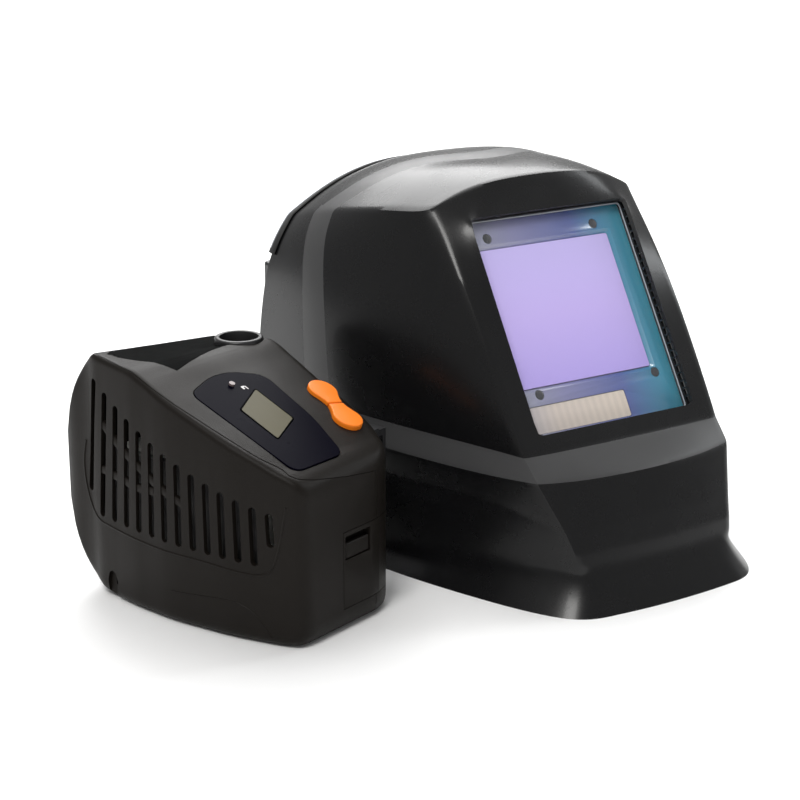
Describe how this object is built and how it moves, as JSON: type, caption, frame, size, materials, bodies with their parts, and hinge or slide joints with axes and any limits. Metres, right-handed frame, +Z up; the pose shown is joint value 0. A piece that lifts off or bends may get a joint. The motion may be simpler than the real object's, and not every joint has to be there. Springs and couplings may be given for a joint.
{
  "type": "powered air respirator",
  "caption": "Flip-up welding helmet with a square auto-darkening window and air-fed headgear, standing beside its belt-worn filter blower with slotted cover and display.",
  "frame": {"origin": "on the floor, under the centre of the whole kit's bounding box", "axes": "+Z up, -Y the way the helmet faces, +X the wearer's left; the blower stands at -X, turned 18.95 degrees about +Z"},
  "size_m": [0.4008, 0.3444, 0.2333],
  "materials": {
    "shell_gloss": "polished injection-moulded nylon with a lighter satin band",
    "window_frame": "moulded, lightly textured",
    "clear_lens": "clear polycarbonate",
    "cartridge_face": "coated, shifting from grey to blue and teal",
    "filter_glass": "coated liquid-crystal shutter, lilac",
    "solar_cell": "cream cell with fine lines",
    "circuit_board": "green solder mask",
    "headgear_plastic": "moulded nylon",
    "pad_fabric": "soft padded cloth",
    "seal_fabric": "woven flame-resistant cloth",
    "rubber": "matte",
    "blower_shell": "warm black, lightly textured",
    "panel_gloss": "glossy navy-black",
    "lcd": "olive-grey display",
    "button_orange": "satin orange",
    "button_grey": "satin grey",
    "gloss_black": "semi-gloss black",
    "filter_media": "pleated particle filter in a card frame",
    "foam": "open-cell foam",
    "steel": "brushed"
  },
  "bodies": {
    "blower": {"main_housing": "blower_shell", "control_panel": "panel_gloss", "lcd_display": "lcd", "status_lamp": "panel_gloss", "control_board": "circuit_board", "hose_port_ring": "gloss_black", "fan_scroll": "window_frame", "fan_motor": "steel", "belt_bracket": "window_frame", "bracket_screw_1": "steel", "bracket_screw_2": "steel", "bracket_screw_3": "steel", "bracket_screw_4": "steel"},
    "impeller": {"impeller": "button_grey"},
    "filter_cover": {"filter_cover": "blower_shell", "particle_filter": "filter_media", "prefilter": "foam", "spark_arrestor": "steel"},
    "battery": {"battery_pack": "gloss_black"},
    "battery_latch": {"battery_latch": "button_grey"},
    "button_on": {"button_on": "button_orange"},
    "button_off": {"button_off": "button_orange"},
    "headgear": {"headband": "headgear_plastic", "rear_band": "headgear_plastic", "crown_strap_front": "headgear_plastic", "crown_strap_rear": "headgear_plastic", "brow_pad": "pad_fabric", "nape_pad": "pad_fabric", "ratchet_housing": "headgear_plastic", "pivot_arm_left": "headgear_plastic", "pivot_arm_right": "headgear_plastic", "air_duct": "headgear_plastic", "hose_socket": "headgear_plastic"},
    "ratchet_knob": {"ratchet_knob": "headgear_plastic"},
    "tension_knob_left": {"tension_knob_left": "headgear_plastic"},
    "tension_knob_right": {"tension_knob_right": "headgear_plastic"},
    "swivel_collar": {"swivel_collar": "gloss_black"},
    "helmet": {"helmet_shell": "shell_gloss", "rear_edge_trim": "rubber", "rim_clip_left": "gloss_black", "rim_clip_right": "gloss_black", "face_seal": "seal_fabric", "lens_frame": "window_frame", "cover_lens": "clear_lens", "filter_front_housing": "cartridge_face", "filter_glass": "filter_glass", "solar_cell": "solar_cell", "cartridge_board": "circuit_board", "filter_rear_housing": "window_frame", "inner_cover_lens": "clear_lens", "lens_retainer": "window_frame", "pivot_boss_left": "window_frame", "pivot_boss_right": "window_frame"},
    "mode_button": {"mode_button": "button_grey"},
    "plus_button": {"plus_button": "button_grey"},
    "minus_button": {"minus_button": "button_grey"},
    "lens_latch": {"lens_latch": "button_grey"}
  },
  "joints": [
    {"name": "helmet_lift", "type": "slide", "parent": "blower", "child": "headgear", "axis": [0, 0, 1], "range_m": [0, 0.3]},
    {"name": "helmet_tilt", "type": "hinge", "parent": "headgear", "child": "helmet", "pos_m": [0.0791, 0.02922, 0.121], "axis": [-1, 0, 0], "range_deg": [0, 49]},
    {"name": "ratchet_turn", "type": "hinge", "parent": "headgear", "child": "ratchet_knob", "pos_m": [0.0791, 0.15422, 0.06194], "axis": [0, 0.8771, -0.4802], "continuous": true},
    {"name": "tension_turn_left", "type": "hinge", "parent": "headgear", "child": "tension_knob_left", "pos_m": [0.1676, 0.02922, 0.121], "axis": [1, 0, 0], "continuous": true},
    {"name": "tension_turn_right", "type": "hinge", "parent": "headgear", "child": "tension_knob_right", "pos_m": [-0.0094, 0.02922, 0.121], "axis": [-1, 0, 0], "continuous": true},
    {"name": "collar_swivel", "type": "hinge", "parent": "headgear", "child": "swivel_collar", "pos_m": [0.0791, 0.15922, 0.0965], "axis": [0, 1, 0], "continuous": true},
    {"name": "mode_press", "type": "slide", "parent": "helmet", "child": "mode_button", "axis": [0, -0.8499, 0.527], "range_m": [0, 0.0012], "stiffness_N_per_m": 400},
    {"name": "plus_press", "type": "slide", "parent": "helmet", "child": "plus_button", "axis": [0, -0.8499, 0.527], "range_m": [0, 0.0012], "stiffness_N_per_m": 400},
    {"name": "minus_press", "type": "slide", "parent": "helmet", "child": "minus_button", "axis": [0, -0.8499, 0.527], "range_m": [0, 0.0012], "stiffness_N_per_m": 400},
    {"name": "lens_latch_slide", "type": "slide", "parent": "helmet", "child": "lens_latch", "axis": [0, 0.527, 0.8499], "range_m": [0, 0.004]},
    {"name": "filter_cover_slide", "type": "slide", "parent": "blower", "child": "filter_cover", "axis": [-0.9458, -0.3247, 0], "range_m": [0, 0.045]},
    {"name": "battery_slide", "type": "slide", "parent": "blower", "child": "battery", "axis": [0.3247, -0.9458, 0], "range_m": [0, 0.07]},
    {"name": "battery_latch_slide", "type": "slide", "parent": "battery", "child": "battery_latch", "axis": [0, 0, 1], "range_m": [0, 0.003], "stiffness_N_per_m": 150},
    {"name": "on_press", "type": "slide", "parent": "blower", "child": "button_on", "axis": [-0.1258, 0.3662, -0.922], "range_m": [0, 0.0015], "stiffness_N_per_m": 400},
    {"name": "off_press", "type": "slide", "parent": "blower", "child": "button_off", "axis": [-0.1258, 0.3662, -0.922], "range_m": [0, 0.0015], "stiffness_N_per_m": 400},
    {"name": "impeller_spin", "type": "hinge", "parent": "blower", "child": "impeller", "pos_m": [-0.11371, 0.00989, 0.068], "axis": [0.9458, 0.3247, 0], "continuous": true}
  ]
}
